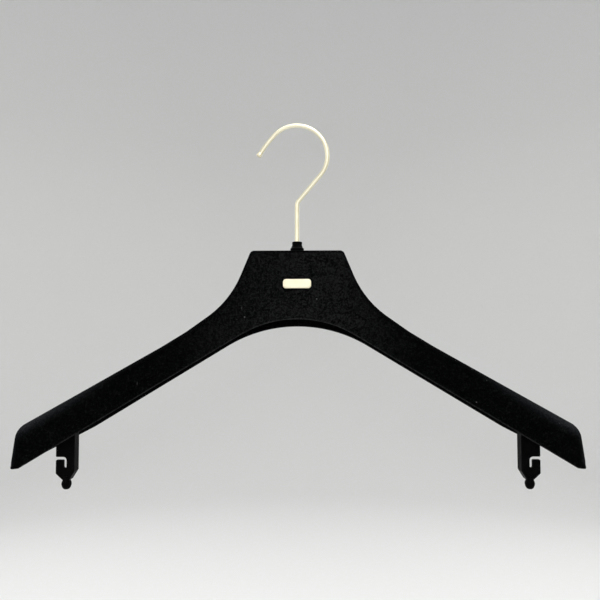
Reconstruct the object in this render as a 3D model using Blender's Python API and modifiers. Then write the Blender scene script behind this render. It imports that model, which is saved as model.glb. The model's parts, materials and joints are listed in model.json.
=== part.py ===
"""Flocked suit hanger with a swivel hook and two folding loop hooks.

Units are metres, +Z is up and the front faces -Y. The origin is the rail seat, the inner
apex of the wire hook, so the hanger hangs below it as it does on a rail.
"""
import math

import bmesh
import bpy
from mathutils import Matrix, Vector

MM = 0.001
GAP = 0.3 * MM                 # clearance between pieces that touch

# ---- driving dimensions -------------------------------------------------------------
WALL = 2.0 * MM                # wall of both half shells
WIRE_R = 1.5 * MM              # hook wire radius
HOOK_R = 22.2 * MM             # centreline radius of the hook's round

TOP_Z = -90.1 * MM             # top edge of the neck
STEM_END_Z = TOP_Z - 14.9 * MM  # lower end of the hook stem
NECK_HALF_WIDTH = 33.1 * MM
ELBOW = (47.7 * MM, -124.9 * MM)           # where the neck side turns into the arm
ARM_BEND = (79.0 * MM, -148.9 * MM)        # the arm's upper line flattens a little here
SHOULDER = (192.5 * MM, -213.6 * MM)       # upper outer corner of the arm end
TIP = (196.3 * MM, -241.3 * MM)            # lower outer corner of the arm end

NECK_HALF_DEPTH = 8.0 * MM     # front and rear faces of the neck, from its middle plane
FLARE_START_X = 40.0 * MM      # where the arms begin to grow deeper
FLARE_FRONT = 19.0 * MM        # how far the front face comes forward at the tip
FLARE_REAR = 1.0 * MM
FLARE_POWER = 1.3

FRONT_ARCH_Z = -139.6 * MM     # lower edge of the front shell, at the middle
FRONT_ARCH_R = 78.0 * MM
FRONT_TIP = (187.0 * MM, -239.5 * MM)
REAR_ARCH_Z = -144.8 * MM      # the rear lip hangs lower than the front edge
REAR_ARCH_R = 98.0 * MM
REAR_KNEE = (147.5 * MM, -217.1 * MM)
REAR_TIP = (193.5 * MM, -240.8 * MM)
UNDERSIDE_ANGLE = math.radians(31.3)
SECTION_POWER = 2.6            # squareness of the arms' rounded cross-section

PIVOT_X = 161.5 * MM           # loop-hook pivot
PIVOT_Z = -211.8 * MM
LOOP_FRONT_Y = -12.5 * MM
LOOP_REAR_Y = -4.5 * MM
LOOP_NECK_Z = -39.0 * MM       # where a loop hook's taper meets its knob, below the pivot
PIN_R = 1.5 * MM
PIN_ENDS_Y = (-18.0 * MM, 4.0 * MM)

BADGE_Z = TOP_Z - 24.4 * MM
BADGE_SIZE = (20.0 * MM, 6.6 * MM)
BADGE_THICKNESS = 1.0 * MM
BADGE_CORNER_R = 2.2 * MM
STUD_X = 6.0 * MM
STUD_R = 0.8 * MM
STUD_END_Y = -3.6 * MM

SEAT_DEPTH = 8.9 * MM          # from the top of the neck to the foot of the hook seat
SHANK_R = 3.4 * MM             # collar shank, through the top of the neck


# ---- scene helpers ------------------------------------------------------------------
def clear_scene():
    for obj in list(bpy.data.objects):
        bpy.data.objects.remove(obj, do_unlink=True)


def new_collection(name):
    collection = bpy.data.collections.new(name)
    bpy.context.scene.collection.children.link(collection)
    return collection


def material(name, colour, roughness, metallic=0.0):
    mat = bpy.data.materials.new(name)
    mat.use_nodes = True
    shader = mat.node_tree.nodes["Principled BSDF"]
    shader.inputs["Base Color"].default_value = (*colour, 1.0)
    shader.inputs["Roughness"].default_value = roughness
    shader.inputs["Metallic"].default_value = metallic
    return mat


def place(name, data, collection, mat=None):
    obj = bpy.data.objects.new(name, data)
    collection.objects.link(obj)
    if mat is not None:
        data.materials.append(mat)
    return obj


def make_guide(obj):
    """Keep a tool body out of the finished object."""
    obj.hide_render = True
    obj.display_type = "WIRE"
    return obj


def boolean(obj, tool, operation):
    mod = obj.modifiers.new(tool.name, "BOOLEAN")
    mod.operation = operation
    mod.object = tool
    mod.solver = "EXACT"


def smooth(obj, angle=30.0):
    obj.data.shade_smooth()
    obj.data.set_sharp_from_angle(angle=math.radians(angle))


def mesh_from(obj):
    """Turn a curve object into a welded mesh object of the same name."""
    depsgraph = bpy.context.evaluated_depsgraph_get()
    data = bpy.data.meshes.new_from_object(obj.evaluated_get(depsgraph))
    bm = bmesh.new()
    bm.from_mesh(data)
    bmesh.ops.remove_doubles(bm, verts=bm.verts, dist=1e-6)
    bmesh.ops.recalc_face_normals(bm, faces=bm.faces)
    bm.to_mesh(data)
    bm.free()
    name, collection = obj.name, obj.users_collection[0]
    matrix = obj.matrix_world.copy()
    hidden = obj.hide_render
    bpy.data.objects.remove(obj, do_unlink=True)
    solid = place(name, data, collection)
    solid.matrix_world = matrix
    if hidden:
        make_guide(solid)
    return solid


# ---- outlines -----------------------------------------------------------------------
def rounded_path(corners, step_angle=12.0):
    """Points of a path through (x, z, radius) corners, each rounded to its radius."""
    points = [Vector(corners[0][:2])]
    for before, corner, after in zip(corners, corners[1:], corners[2:]):
        here = Vector(corner[:2])
        back = (Vector(before[:2]) - here).normalized()
        ahead = (Vector(after[:2]) - here).normalized()
        turn = math.pi - back.angle(ahead)
        radius = corner[2]
        if radius == 0.0 or turn < 1e-4:
            points.append(here)
            continue
        tangent = radius * math.tan(turn / 2)
        centre = here + (back + ahead).normalized() * radius / math.cos(turn / 2)
        start = here + back * tangent - centre
        side = 1.0 if back.x * ahead.y - back.y * ahead.x < 0 else -1.0
        steps = max(2, round(math.degrees(turn) / step_angle))
        for index in range(steps + 1):
            angle = side * turn * index / steps
            spin = Matrix.Rotation(angle, 2)
            points.append(centre + spin @ start)
    points.append(Vector(corners[-1][:2]))
    return points


def subdivided(points, longest):
    """The same path, with no piece longer than the given length."""
    result = [points[0]]
    for start, end in zip(points, points[1:]):
        pieces = max(1, math.ceil((end - start).length / longest))
        for index in range(1, pieces + 1):
            result.append(start.lerp(end, index / pieces))
    return [p for i, p in enumerate(result) if i == 0 or (p - result[i - 1]).length > 1e-6]


def lengths(points):
    total = [0.0]
    for start, end in zip(points, points[1:]):
        total.append(total[-1] + (end - start).length)
    return total


def interpolate(value, keys, values):
    for low, high, start, end in zip(keys, keys[1:], values, values[1:]):
        if value <= high:
            return start + (end - start) * (value - low) / (high - low)
    return values[-1]


def height_on(path, x):
    return interpolate(x, [p.x for p in path], [p.y for p in path])


# ---- body shells --------------------------------------------------------------------
def face_depth(x, side):
    """Y of the front (side -1) or rear (side +1) face of the body at x."""
    grow = max(0.0, (abs(x) - FLARE_START_X) / (TIP[0] - FLARE_START_X)) ** FLARE_POWER
    flare = FLARE_FRONT if side < 0 else FLARE_REAR
    return side * (NECK_HALF_DEPTH + flare * grow)


def ridge_depth(x):
    return (face_depth(x, -1) + face_depth(x, 1)) / 2


def ridge_path():
    corners = [(0.0, TOP_Z, 0.0), (NECK_HALF_WIDTH, TOP_Z, 3.5 * MM),
               (*ELBOW, 70.0 * MM), (*ARM_BEND, 300.0 * MM), (*SHOULDER, 9.0 * MM),
               (*TIP, 0.0)]
    return subdivided(rounded_path(corners), 11.0 * MM)


def edge_path(side):
    """Lower edge of the front (side -1) or rear (side +1) shell, middle to tip."""
    if side < 0:
        arch_z, radius, rest = FRONT_ARCH_Z, FRONT_ARCH_R, [(*FRONT_TIP, 0.0)]
    else:
        arch_z, radius = REAR_ARCH_Z, REAR_ARCH_R
        rest = [(*REAR_KNEE, 60.0 * MM), (*REAR_TIP, 0.0)]
    start = radius * math.tan(UNDERSIDE_ANGLE / 2)
    return rounded_path([(0.0, arch_z, 0.0), (start, arch_z, radius * 0.999), *rest], 3.0)


def superellipse(radius, steps):
    """Quarter profile from the ridge to the face as (distance down, share of half depth)."""
    power = 2.0 / SECTION_POWER
    angles = [math.pi / 2 * index / steps for index in range(steps + 1)]
    return [(radius * (1 - math.cos(a) ** power), math.sin(a) ** power) for a in angles]


def half_sections(side):
    """Sections of one half shell from the middle to the tip, ridge to lower edge."""
    ridge = ridge_path()
    edge = edge_path(side)
    along = lengths(ridge)
    # matching places along the ridge and the lower edge: middle, neck corner, elbow,
    # shoulder and tip
    ridge_keys = [0.0, NECK_HALF_WIDTH, NECK_HALF_WIDTH + 43.0 * MM, along[-1] - 27.0 * MM,
                  along[-1]]
    edge_x = [0.0, 20.0 * MM, 42.0 * MM, edge[-1].x - 9.0 * MM, edge[-1].x]
    rounding = [4.5 * MM, 4.5 * MM, 6.0 * MM, 12.0 * MM, 8.0 * MM]
    sections = []
    for point, length in zip(ridge, along):
        x = interpolate(length, ridge_keys, edge_x)
        foot = Vector((x, height_on(edge, x)))
        reach = (foot - point).length
        down = (foot - point) / reach
        radius = min(interpolate(length, ridge_keys, rounding), 0.96 * reach)
        profile = superellipse(radius, 6)
        profile += [(radius + (reach - radius) * share, 1.0) for share in (0.5, 1.0)]
        section = []
        for distance, outward in profile:
            spot = point + down * distance
            middle = ridge_depth(spot.x) + side * GAP / 2
            y = middle + (face_depth(spot.x, side) - middle) * outward
            section.append((spot.x, y, spot.y))
        sections.append(section)
    return sections


def shell(name, side, collection, mat):
    sections = half_sections(side)
    bm = bmesh.new()
    rows = [[bm.verts.new(co) for co in section] for section in sections]
    for row, following in zip(rows, rows[1:]):
        for a, b, c, d in zip(row, row[1:], following[1:], following):
            bm.faces.new((a, b, c, d) if side < 0 else (d, c, b, a))
    data = bpy.data.meshes.new(name)
    bm.to_mesh(data)
    bm.free()
    obj = place(name, data, collection, mat)
    mirror = obj.modifiers.new("other_arm", "MIRROR")
    mirror.merge_threshold = 1e-5
    solid = obj.modifiers.new("wall", "SOLIDIFY")
    solid.thickness = WALL
    solid.offset = -1.0
    solid.use_even_offset = True
    solid.use_quality_normals = True
    smooth(obj, 40.0)
    return obj


# ---- primitive pieces ---------------------------------------------------------------
def cylinder(name, collection, radius, x, y_range, z, sides=20, mat=None):
    """A round bar along Y between the two y values."""
    low, high = sorted(y_range)
    bm = bmesh.new()
    bmesh.ops.create_cone(bm, cap_ends=True, segments=sides, radius1=radius, radius2=radius,
                          depth=high - low, matrix=Matrix.Rotation(math.pi / 2, 4, "X"))
    data = bpy.data.meshes.new(name)
    bm.to_mesh(data)
    bm.free()
    obj = place(name, data, collection, mat)
    obj.location = (x, (low + high) / 2, z)
    return obj


def upright(name, collection, radius, z_range, sides=24):
    low, high = z_range
    bm = bmesh.new()
    bmesh.ops.create_cone(bm, cap_ends=True, segments=sides, radius1=radius, radius2=radius,
                          depth=high - low)
    data = bpy.data.meshes.new(name)
    bm.to_mesh(data)
    bm.free()
    obj = place(name, data, collection)
    obj.location = (0.0, 0.0, (low + high) / 2)
    return obj


def block(name, collection, low, high):
    bm = bmesh.new()
    bmesh.ops.create_cube(bm, size=1.0)
    size = [b - a for a, b in zip(low, high)]
    bmesh.ops.scale(bm, verts=bm.verts, vec=size)
    data = bpy.data.meshes.new(name)
    bm.to_mesh(data)
    bm.free()
    obj = place(name, data, collection)
    obj.location = [(a + b) / 2 for a, b in zip(low, high)]
    return obj


def turned(name, collection, profile, sides, mat=None):
    """A ring from a closed (radius, height) profile that runs down its outer side."""
    bm = bmesh.new()
    verts = [bm.verts.new((radius, 0.0, height)) for radius, height in profile]
    for a, b in zip(verts, verts[1:] + verts[:1]):
        bm.edges.new((a, b))
    data = bpy.data.meshes.new(name)
    bm.to_mesh(data)
    bm.free()
    obj = place(name, data, collection, mat)
    screw = obj.modifiers.new("turn", "SCREW")
    screw.steps = sides
    screw.render_steps = sides
    screw.use_merge_vertices = True
    screw.merge_threshold = 1e-6
    screw.use_smooth_shade = True
    return obj


def flat_outline(name, collection, points, y_range, mat=None):
    """A plate of the given (x, z) outline between two y values."""
    low, high = sorted(y_range)
    curve = bpy.data.curves.new(name, "CURVE")
    curve.dimensions = "2D"
    curve.fill_mode = "BOTH"
    curve.extrude = (high - low) / 2
    spline = curve.splines.new("POLY")
    spline.points.add(len(points) - 1)
    for target, (x, z) in zip(spline.points, points):
        target.co = (x, z, 0.0, 1.0)
    spline.use_cyclic_u = True
    obj = place(name, curve, collection)
    obj.rotation_euler.x = math.pi / 2
    obj.location.y = (low + high) / 2
    bpy.context.view_layer.update()
    solid = mesh_from(obj)
    if mat is not None:
        solid.data.materials.append(mat)
    return solid


# ---- hook and its fittings ----------------------------------------------------------
def hook_points():
    """Centreline of the wire from the stem's lower end to the open tip, as (x, z)."""
    centre_z = WIRE_R - HOOK_R
    leave = math.radians(-40.0)            # where the round turns into the slanting run
    open_from = math.radians(136.0)        # where the round opens to a wider radius
    open_r = 80.0 * MM
    open_sweep = math.radians(12.0)
    bend_r = 6.0 * MM
    out = Vector((math.cos(leave), math.sin(leave))) * HOOK_R + Vector((0.0, centre_z))
    slant = Vector((math.sin(leave), -math.cos(leave)))        # down and inward
    foot = out + slant * (out.x / -slant.x)
    path = rounded_path([(0.0, STEM_END_Z, 0.0), (foot.x, foot.y, bend_r),
                         (out.x, out.y, 0.0)], 10.0)
    path = subdivided(path, 14.0 * MM)
    steps = 22
    for index in range(1, steps + 1):
        angle = leave + (open_from - leave) * index / steps
        path.append(Vector((math.cos(angle), math.sin(angle))) * HOOK_R
                    + Vector((0.0, centre_z)))
    wide_centre = Vector((math.cos(open_from), math.sin(open_from))) * (HOOK_R - open_r)
    wide_centre.y += centre_z
    steps = 4
    for index in range(1, steps + 1):
        angle = open_from + open_sweep * index / steps
        path.append(Vector((math.cos(angle), math.sin(angle))) * open_r + wide_centre)
    return path


def hook(collection, mat):
    path = hook_points()
    direction = (path[-1] - path[-2]).normalized()
    bead = [(1.0, 0.0), (1.22, 0.8), (1.32, 1.7), (1.22, 2.5), (0.85, 3.1), (0.35, 3.4)]
    points = [(p, 1.0) for p in path[:-1]]
    points += [(path[-1] + direction * ahead * MM, factor) for factor, ahead in bead]
    curve = bpy.data.curves.new("hook", "CURVE")
    curve.dimensions = "3D"
    curve.bevel_depth = WIRE_R
    curve.bevel_resolution = 2
    curve.use_fill_caps = True
    spline = curve.splines.new("POLY")
    spline.points.add(len(points) - 1)
    for target, (point, factor) in zip(spline.points, points):
        target.co = (point.x, 0.0, point.y, 1.0)
        target.radius = factor
    return place("hook", curve, collection, mat)


def hook_fittings(collection, dark, steel):
    bore = WIRE_R + GAP
    base_z = TOP_Z + GAP
    washer_height, nut_height = 1.0 * MM, 2.8 * MM
    top = TOP_Z + 6.4 * MM
    shank_end = TOP_Z - SEAT_DEPTH + GAP
    turned("hook_collar", collection,
           [(3.2 * MM, top), (3.6 * MM, top - 0.4 * MM), (4.0 * MM, top - 3.5 * MM),
            (4.9 * MM, top - 4.9 * MM), (4.9 * MM, base_z), (SHANK_R, base_z),
            (SHANK_R, shank_end), (bore, shank_end), (bore, top)], 24, dark)
    top = TOP_Z - SEAT_DEPTH - GAP
    turned("hook_washer", collection,
           [(4.8 * MM, top), (4.8 * MM, top - washer_height),
            (bore, top - washer_height), (bore, top)], 24, steel)
    top -= washer_height + GAP
    nut = turned("hook_nut", collection,
                 [(3.2 * MM, top), (3.2 * MM, top - nut_height), (bore, top - nut_height),
                  (bore, top)], 6, steel)
    nut.modifiers["turn"].use_smooth_shade = False


# ---- badge --------------------------------------------------------------------------
def badge(collection, cutters, gold, steel):
    back = -NECK_HALF_DEPTH - GAP
    half_width, half_height = BADGE_SIZE[0] / 2, BADGE_SIZE[1] / 2
    radius = BADGE_CORNER_R
    loop = rounded_path([(0.0, half_height, 0.0), (half_width, half_height, radius),
                         (half_width, -half_height, radius), (-half_width, -half_height, radius),
                         (-half_width, half_height, radius), (0.0, half_height, 0.0)], 15.0)
    points = [(p.x, p.y + BADGE_Z) for p in loop[:-1]]
    plate = flat_outline("badge", collection, points, (back - BADGE_THICKNESS, back), gold)
    for x in (-STUD_X, STUD_X):
        stud = cylinder("stud", cutters, STUD_R, x, (back - BADGE_THICKNESS / 2, STUD_END_Y), BADGE_Z, 12)
        boolean(plate, make_guide(stud), "UNION")
    bore = STUD_R + GAP
    for side, name in ((-1, "badge_push_nut_left"), (1, "badge_push_nut_right")):
        nut = turned(name, collection,
                     [(2.6 * MM, 0.3 * MM), (2.6 * MM, -0.1 * MM), (1.5 * MM, -0.4 * MM),
                      (bore, -0.4 * MM), (bore, 0.0), (1.5 * MM, 0.3 * MM)], 16, steel)
        nut.rotation_euler.x = math.pi / 2
        nut.location = (side * STUD_X, WALL - NECK_HALF_DEPTH + 0.75 * MM, BADGE_Z)


# ---- loop hooks ---------------------------------------------------------------------
def loop_outline():
    """Plate outline of a loop hook about its pivot: (outward, up), outer edge first."""
    outer, inner, top_r = 6.5 * MM, -7.2 * MM, 6.85 * MM
    slot_top, slot_floor = -23.2 * MM, -25.3 * MM
    slot_in, slot_out, slot_end = -0.9 * MM, 1.1 * MM, -30.8 * MM
    waist = -34.7 * MM
    neck_z, neck_in, neck_out = LOOP_NECK_Z, -3.4 * MM, 1.8 * MM
    corners = [(outer, -8.0 * MM, 0.0), (outer, slot_top, 0.8 * MM),
               (slot_in, slot_top, 2.4 * MM), (slot_in, slot_end, 0.95 * MM),
               (slot_out, slot_end, 0.95 * MM), (slot_out, slot_floor, 0.8 * MM),
               (outer, slot_floor, 0.8 * MM), (outer, waist, 1.5 * MM),
               (neck_out, neck_z, 0.0), (neck_in, neck_z, 0.0),
               (inner, waist + 2.0 * MM, 2.0 * MM), (inner, top_r, top_r * 0.98),
               (outer, top_r, top_r * 0.98), (outer, -8.0 * MM, 0.0)]
    return [(p.x, p.y) for p in rounded_path(corners, 22.5)[:-1]]


def flange_outline():
    """Stiffening flange along the inner edge and the lower taper of a loop hook."""
    inner, thick = -7.2 * MM, 1.5 * MM
    waist, neck_z, neck_in = -32.7 * MM, LOOP_NECK_Z, -3.4 * MM
    outside = rounded_path([(inner, 0.0, 0.0), (inner, waist, 2.0 * MM),
                            (neck_in, neck_z, 0.0)], 15.0)
    inside = rounded_path([(inner + thick, 0.0, 0.0), (inner + thick, waist, 1.0 * MM),
                           (neck_in + thick, neck_z, 0.0)], 15.0)
    return [(p.x, p.y) for p in outside + inside[::-1]]


def loop_hook(name, side, collection, cutters, dark):
    def moved(points):
        return [(side * (PIVOT_X + a), PIVOT_Z + z) for a, z in points]

    plate = flat_outline(name, collection, moved(loop_outline()), (-10.6 * MM, -8.6 * MM), dark)
    flange = flat_outline(name + "_flange", cutters, moved(flange_outline()),
                          (LOOP_FRONT_Y, LOOP_REAR_Y))
    hub = cylinder(name + "_hub", cutters, 4.4 * MM, side * PIVOT_X,
                   (LOOP_FRONT_Y, LOOP_REAR_Y), PIVOT_Z, 20)
    knob = turned(name + "_knob", cutters,
                  [(0.0, 2.4 * MM), (2.1 * MM, 2.4 * MM), (2.6 * MM, 0.4 * MM),
                   (3.4 * MM, -2.2 * MM), (3.2 * MM, -3.6 * MM), (2.2 * MM, -6.0 * MM),
                   (1.2 * MM, -6.5 * MM), (0.0, -6.5 * MM)], 16)
    knob.location = (side * (PIVOT_X - 0.8 * MM), -9.6 * MM, PIVOT_Z + LOOP_NECK_Z)
    bore = cylinder(name + "_bore", cutters, PIN_R + GAP, side * PIVOT_X,
                    (LOOP_FRONT_Y - MM, LOOP_REAR_Y + MM), PIVOT_Z, 16)
    for tool in (flange, hub, knob):
        boolean(plate, make_guide(tool), "UNION")
    boolean(plate, make_guide(bore), "DIFFERENCE")
    smooth(plate)
    return plate


def pivot_pin(name, side, collection, steel):
    pin = cylinder(name, collection, PIN_R, side * PIVOT_X, PIN_ENDS_Y, PIVOT_Z, 16, steel)
    bevel = pin.modifiers.new("ends", "BEVEL")
    bevel.width = 0.3 * MM
    bevel.segments = 1
    bevel.limit_method = "ANGLE"
    smooth(pin, 40.0)
    return pin


# ---- features inside the shells -----------------------------------------------------
def shell_features(front, rear, cutters):
    pegs = [(22.0 * MM, -128.0 * MM), (92.0 * MM, -169.0 * MM)]
    peg_boss_r, peg_r, peg_length = 3.2 * MM, 1.5 * MM, 3.0 * MM
    block_half_width = 8.0 * MM
    sink = WALL / 2                        # how far a boss runs into the wall
    block_z = (TOP_Z - SEAT_DEPTH, TOP_Z - sink)
    for body, side, word in ((front, -1, "front"), (rear, 1, "rear")):
        seat_y = sorted((side * 0.7 * GAP, side * (NECK_HALF_DEPTH - sink)))
        seat = block(word + "_hook_seat", cutters, (-block_half_width, seat_y[0], block_z[0]),
                     (block_half_width, seat_y[1], block_z[1]))
        boolean(body, make_guide(seat), "UNION")
        for hand in (-1, 1):
            for x, z in pegs:
                wall_y = face_depth(x, side) - side * sink
                boss = cylinder(f"{word}_peg_boss", cutters, peg_boss_r, hand * x,
                                (side * GAP / 2, wall_y), z, 16)
                boolean(body, make_guide(boss), "UNION")
            wall_y = face_depth(PIVOT_X, side) - side * sink
            stop_y = LOOP_FRONT_Y - GAP if side < 0 else LOOP_REAR_Y + GAP
            boss = cylinder(f"{word}_pin_boss", cutters, 4.2 * MM, hand * PIVOT_X,
                            (stop_y, wall_y), PIVOT_Z, 20)
            boolean(body, make_guide(boss), "UNION")
            hole = cylinder(f"{word}_pin_hole", cutters, PIN_R + GAP, hand * PIVOT_X,
                            (PIN_ENDS_Y[0] - GAP, PIN_ENDS_Y[1] + GAP), PIVOT_Z, 16)
            boolean(body, make_guide(hole), "DIFFERENCE")
            for x, z in pegs:
                if side > 0:
                    peg = cylinder("peg", cutters, peg_r, hand * x, (-peg_length, 2.0 * MM), z, 12)
                    boolean(body, make_guide(peg), "UNION")
                else:
                    socket = cylinder("socket", cutters, peg_r + GAP, hand * x,
                                      (-peg_length - GAP, 2.0 * MM), z, 12)
                    boolean(body, make_guide(socket), "DIFFERENCE")
        hole = upright(word + "_hook_hole", cutters, SHANK_R + GAP,
                       (TOP_Z - SEAT_DEPTH - MM, TOP_Z + MM))
        boolean(body, make_guide(hole), "DIFFERENCE")
    for x in (-STUD_X, STUD_X):
        hole = cylinder("stud_hole", cutters, STUD_R + GAP, x,
                        (-NECK_HALF_DEPTH - MM, -3.0 * MM), BADGE_Z, 12)
        boolean(front, make_guide(hole), "DIFFERENCE")


def main():
    clear_scene()
    parts = new_collection("suit_hanger")
    cutters = new_collection("cutters")
    flock = material("black_flock", (0.012, 0.012, 0.014), 1.0)
    dark = material("black_plastic", (0.014, 0.014, 0.015), 0.28)
    gold = material("champagne_plate", (0.83, 0.77, 0.60), 0.28, 1.0)
    steel = material("zinc_steel", (0.62, 0.62, 0.64), 0.35, 1.0)

    front = shell("front_shell", -1, parts, flock)
    rear = shell("rear_shell", 1, parts, flock)
    shell_features(front, rear, cutters)
    hook(parts, gold)
    hook_fittings(parts, dark, steel)
    badge(parts, cutters, gold, steel)
    for side, hand in ((-1, "left"), (1, "right")):
        loop_hook(f"{hand}_loop_hook", side, parts, cutters, dark)
        pivot_pin(f"{hand}_pivot_pin", side, parts, steel)


main()
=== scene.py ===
"""Looks of the flocked suit hanger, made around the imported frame.

Metres, +Z up, front towards -Y. The origin is the rail seat at the hook's inner apex.
"""

import json
import math

import bmesh
import bpy
from mathutils import Matrix, Vector
from mathutils.kdtree import KDTree


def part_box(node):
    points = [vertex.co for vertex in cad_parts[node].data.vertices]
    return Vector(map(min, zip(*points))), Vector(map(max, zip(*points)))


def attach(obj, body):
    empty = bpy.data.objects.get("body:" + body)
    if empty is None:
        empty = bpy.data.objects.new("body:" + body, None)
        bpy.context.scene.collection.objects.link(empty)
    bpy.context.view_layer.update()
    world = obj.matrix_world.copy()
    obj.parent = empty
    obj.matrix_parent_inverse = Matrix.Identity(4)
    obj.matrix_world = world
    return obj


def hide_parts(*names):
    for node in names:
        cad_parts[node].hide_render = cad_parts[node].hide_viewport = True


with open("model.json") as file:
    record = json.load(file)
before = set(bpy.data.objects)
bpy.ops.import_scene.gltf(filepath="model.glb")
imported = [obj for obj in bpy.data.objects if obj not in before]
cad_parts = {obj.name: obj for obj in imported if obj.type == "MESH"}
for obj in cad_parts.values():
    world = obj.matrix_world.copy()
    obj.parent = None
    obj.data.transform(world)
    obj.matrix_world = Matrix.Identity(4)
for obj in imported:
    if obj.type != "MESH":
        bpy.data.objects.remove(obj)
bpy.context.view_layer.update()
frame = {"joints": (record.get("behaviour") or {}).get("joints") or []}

MM = 0.001
JOINTS = {joint["name"]: joint for joint in frame["joints"]}

# ---- sizes taken from the frame -----------------------------------------------------
COLLAR_LOW, COLLAR_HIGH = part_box("hook_collar")
BADGE_LOW, BADGE_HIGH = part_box("badge")
TIP_X, _, TOP_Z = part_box("front_shell")[1]  # outermost point of the arms, top of the neck
PIVOT = Vector(JOINTS["right_loop_fold"]["pos_m"])
STEM_END_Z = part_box("hook")[0].z
BADGE_Z = (BADGE_LOW.z + BADGE_HIGH.z) / 2

# ---- sizes of the form, as the CAD model has them -----------------------------------
WALL = 2.0 * MM
GAP = 0.3 * MM
SEAM = 0.02 * MM                           # half the welded seam along the ridge
LIP_R = 0.65 * MM                          # rounding of the walls' free edges
WIRE_R = 1.5 * MM
HOOK_R = 22.2 * MM
BORE_R = WIRE_R + 0.12 * MM                # collar, washer and nut, round the hook's stem

NECK_HALF_WIDTH = 33.1 * MM
ELBOW = (47.7 * MM, TOP_Z - 34.8 * MM)
ARM_BEND = (79.0 * MM, TOP_Z - 58.8 * MM)
SHOULDER = (TIP_X - 3.8 * MM, TOP_Z - 123.5 * MM)
TIP = (TIP_X, TOP_Z - 150.4 * MM)
TIP_R = 4.0 * MM                           # rounding of the arm end's lower corner
NECK_HALF_DEPTH = 8.0 * MM
FLARE_START_X = 40.0 * MM
FLARE_FRONT = 19.0 * MM
FLARE_REAR = 1.0 * MM
FLARE_POWER = 1.3
FRONT_ARCH = (TOP_Z - 49.5 * MM, 78.0 * MM)        # height and radius of the arch
FRONT_TIP = (TIP_X - 9.3 * MM, TOP_Z - 149.4 * MM)
REAR_ARCH = (TOP_Z - 54.7 * MM, 98.0 * MM)
REAR_KNEE = (147.5 * MM, TOP_Z - 127.0 * MM)
REAR_TIP = (TIP_X - 2.8 * MM, TOP_Z - 150.7 * MM)
UNDERSIDE_ANGLE = math.radians(31.3)
SECTION_POWER = 2.6
PIN_R = 1.5 * MM
HUB_R = 4.4 * MM
STUD_X = 6.0 * MM                          # the badge's two studs
STUD_R = 0.8 * MM
PEGS = ((22.0 * MM, -128.0 * MM), (92.0 * MM, -169.0 * MM))
PEG_R = 1.5 * MM
PEG_END_Y = -3.0 * MM
BOSS_R = 3.2 * MM
SEAT_SIZE = (16.0 * MM, 8.9 * MM)          # block under the collar: width, depth below the top
LOOP_FRONT_Y = -12.5 * MM
LOOP_BACK_Y = -4.5 * MM
LOOP_WAIST_Z = -32.7                       # mm from the pivot, where the plate tapers in
LOOP_NECK_Z = -39.0                        # mm from the pivot, where the knob begins
LOOP_STOPS = {-1: -12.8 * MM, 1: -4.2 * MM}        # faces that hold a loop hook's hub


# ---- outlines -----------------------------------------------------------------------
def rounded_path(corners, step_angle=3.0):
    """Points of a path through (x, z, radius) corners, each rounded to its radius."""
    points = [Vector(corners[0][:2])]
    for before, corner, after in zip(corners, corners[1:], corners[2:]):
        here = Vector(corner[:2])
        back = (Vector(before[:2]) - here).normalized()
        ahead = (Vector(after[:2]) - here).normalized()
        turn = math.pi - back.angle(ahead)
        radius = corner[2]
        if radius == 0.0 or turn < 1e-4:
            points.append(here)
            continue
        centre = here + (back + ahead).normalized() * radius / math.cos(turn / 2)
        start = here + back * radius * math.tan(turn / 2) - centre
        side = 1.0 if back.x * ahead.y - back.y * ahead.x < 0 else -1.0
        steps = max(2, round(math.degrees(turn) / step_angle))
        for index in range(steps + 1):
            points.append(centre + Matrix.Rotation(side * turn * index / steps, 2) @ start)
    points.append(Vector(corners[-1][:2]))
    return points


def subdivided(points, longest):
    """The same path, with no piece longer than the given length."""
    result = [points[0]]
    for start, end in zip(points, points[1:]):
        pieces = max(1, math.ceil((end - start).length / longest))
        result += [start.lerp(end, index / pieces) for index in range(1, pieces + 1)]
    return [p for i, p in enumerate(result) if i == 0 or (p - result[i - 1]).length > 1e-6]


def lengths(points):
    """Distance along the path at each of its points."""
    total = [0.0]
    for start, end in zip(points, points[1:]):
        total.append(total[-1] + (end - start).length)
    return total


def between(value, keys, values):
    """The value read off straight lines between keys."""
    for low, high, start, end in zip(keys, keys[1:], values, values[1:]):
        if value <= high:
            return start + (end - start) * (value - low) / (high - low)
    return values[-1]


def flowing(value, keys, values):
    """The value read off a smooth curve through the keys."""
    slopes = [(b - a) / (high - low)
              for low, high, a, b in zip(keys, keys[1:], values, values[1:])]
    tangents = [slopes[0], *[(a + b) / 2 for a, b in zip(slopes, slopes[1:])], slopes[-1]]
    value = min(max(value, keys[0]), keys[-1])
    index = max(i for i in range(len(keys) - 1) if value >= keys[i])
    span = keys[index + 1] - keys[index]
    t = (value - keys[index]) / span
    return ((2 * t ** 3 - 3 * t ** 2 + 1) * values[index]
            + (t ** 3 - 2 * t ** 2 + t) * span * tangents[index]
            + (3 * t ** 2 - 2 * t ** 3) * values[index + 1]
            + (t ** 3 - t ** 2) * span * tangents[index + 1])


# ---- object helpers -----------------------------------------------------------------
def new_object(name, bm, body=None, mat=None, replaces=()):
    """An object of the built mesh; with a body, slot and nodes it is a piece of the hanger."""
    data = bpy.data.meshes.new(name)
    bm.to_mesh(data)
    bm.free()
    obj = bpy.data.objects.new(name, data)
    bpy.context.scene.collection.objects.link(obj)
    if mat is not None:
        data.materials.append(mat)
    if body is not None:
        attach(obj, body)
    if replaces:
        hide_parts(*replaces)
    return obj


def shade(obj, angle=35.0):
    """Smooth shading, with edges sharper than the angle kept."""
    obj.data.shade_smooth()
    obj.data.set_sharp_from_angle(angle=math.radians(angle))


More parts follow.
